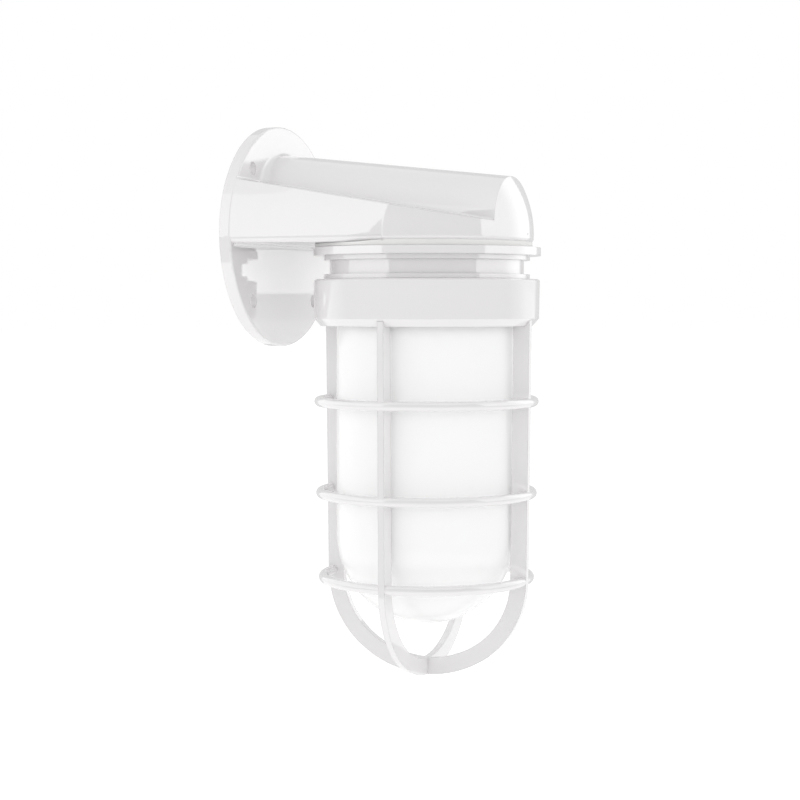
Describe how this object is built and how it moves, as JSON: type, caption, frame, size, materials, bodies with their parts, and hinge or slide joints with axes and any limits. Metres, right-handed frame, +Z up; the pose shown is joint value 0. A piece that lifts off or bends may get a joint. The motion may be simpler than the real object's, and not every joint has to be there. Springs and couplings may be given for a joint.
{
  "type": "vapor-tight wall light",
  "caption": "Wall light with a round back plate and bullet-shaped arm, a stepped cap, a white glass jar that screws in, and a cast guard of ribs and rings around it.",
  "frame": {"origin": "centre of the wall plate's back face, where it meets the wall", "axes": "-Y out from the wall into the room, +Z up, +X to the right for someone who faces the light"},
  "size_m": [0.1284, 0.1617, 0.3125],
  "materials": {
    "enamel": "gloss white enamel on cast aluminium",
    "opal_glass": "smooth opal white",
    "bulb_glass": "soft white coating inside",
    "gasket_rubber": "pale moulded rubber",
    "steel": "plated",
    "brass": "stamped",
    "porcelain": "glazed",
    "black_insulation": "smooth",
    "white_insulation": "smooth",
    "green_insulation": "smooth",
    "green_screw": "green lacquer on steel"
  },
  "bodies": {
    "fixture": {"arm_casting": "enamel", "wall_gasket": "gasket_rubber", "arm_gasket": "gasket_rubber", "cap_casting": "enamel", "cap_screws": "steel", "lampholder": "porcelain", "lampholder_screws": "steel", "screw_shell": "brass", "centre_contact": "brass", "line_terminal": "brass", "neutral_terminal": "steel", "line_lead": "black_insulation", "neutral_lead": "white_insulation", "ground_screw": "green_screw", "ground_lead": "green_insulation"},
    "guard": {"guard_collar": "enamel", "guard_ribs_front_back": "enamel", "guard_ribs_sides": "enamel", "guard_rings": "enamel"},
    "set_screw_back": {"set_screw_back": "steel"},
    "set_screw_front": {"set_screw_front": "steel"},
    "seal": {"jar_gasket": "gasket_rubber"},
    "jar": {"glass_jar": "opal_glass"},
    "bulb": {"bulb_glass": "bulb_glass", "bulb_base": "steel", "bulb_insulator": "black_insulation", "bulb_contact": "steel"}
  },
  "joints": [
    {"name": "guard_drop", "type": "slide", "parent": "fixture", "child": "guard", "axis": [0, 0, -1], "range_m": [0, 0.2]},
    {"name": "set_screw_back_out", "type": "slide", "parent": "guard", "child": "set_screw_back", "axis": [0.7071, 0.7071, 0], "range_m": [0, 0.003]},
    {"name": "set_screw_front_out", "type": "slide", "parent": "guard", "child": "set_screw_front", "axis": [0.7071, -0.7071, 0], "range_m": [0, 0.003]},
    {"name": "jar_advance", "type": "slide", "parent": "fixture", "child": "seal", "axis": [0, 0, -1], "range_m": [0, 0.0085]},
    {"name": "jar_unscrew", "type": "hinge", "parent": "seal", "child": "jar", "pos_m": [0, -0.0975, -0.1], "axis": [0, 0, -1], "range_deg": [0, 720]},
    {"name": "bulb_unscrew", "type": "hinge", "parent": "fixture", "child": "bulb", "pos_m": [0, -0.0975, -0.03], "axis": [0, 0, -1], "range_deg": [0, 1080]}
  ],
  "couplings": [
    {"joint": "jar_advance", "follows": "jar_unscrew", "m_per_rad": 0.00067374}
  ]
}
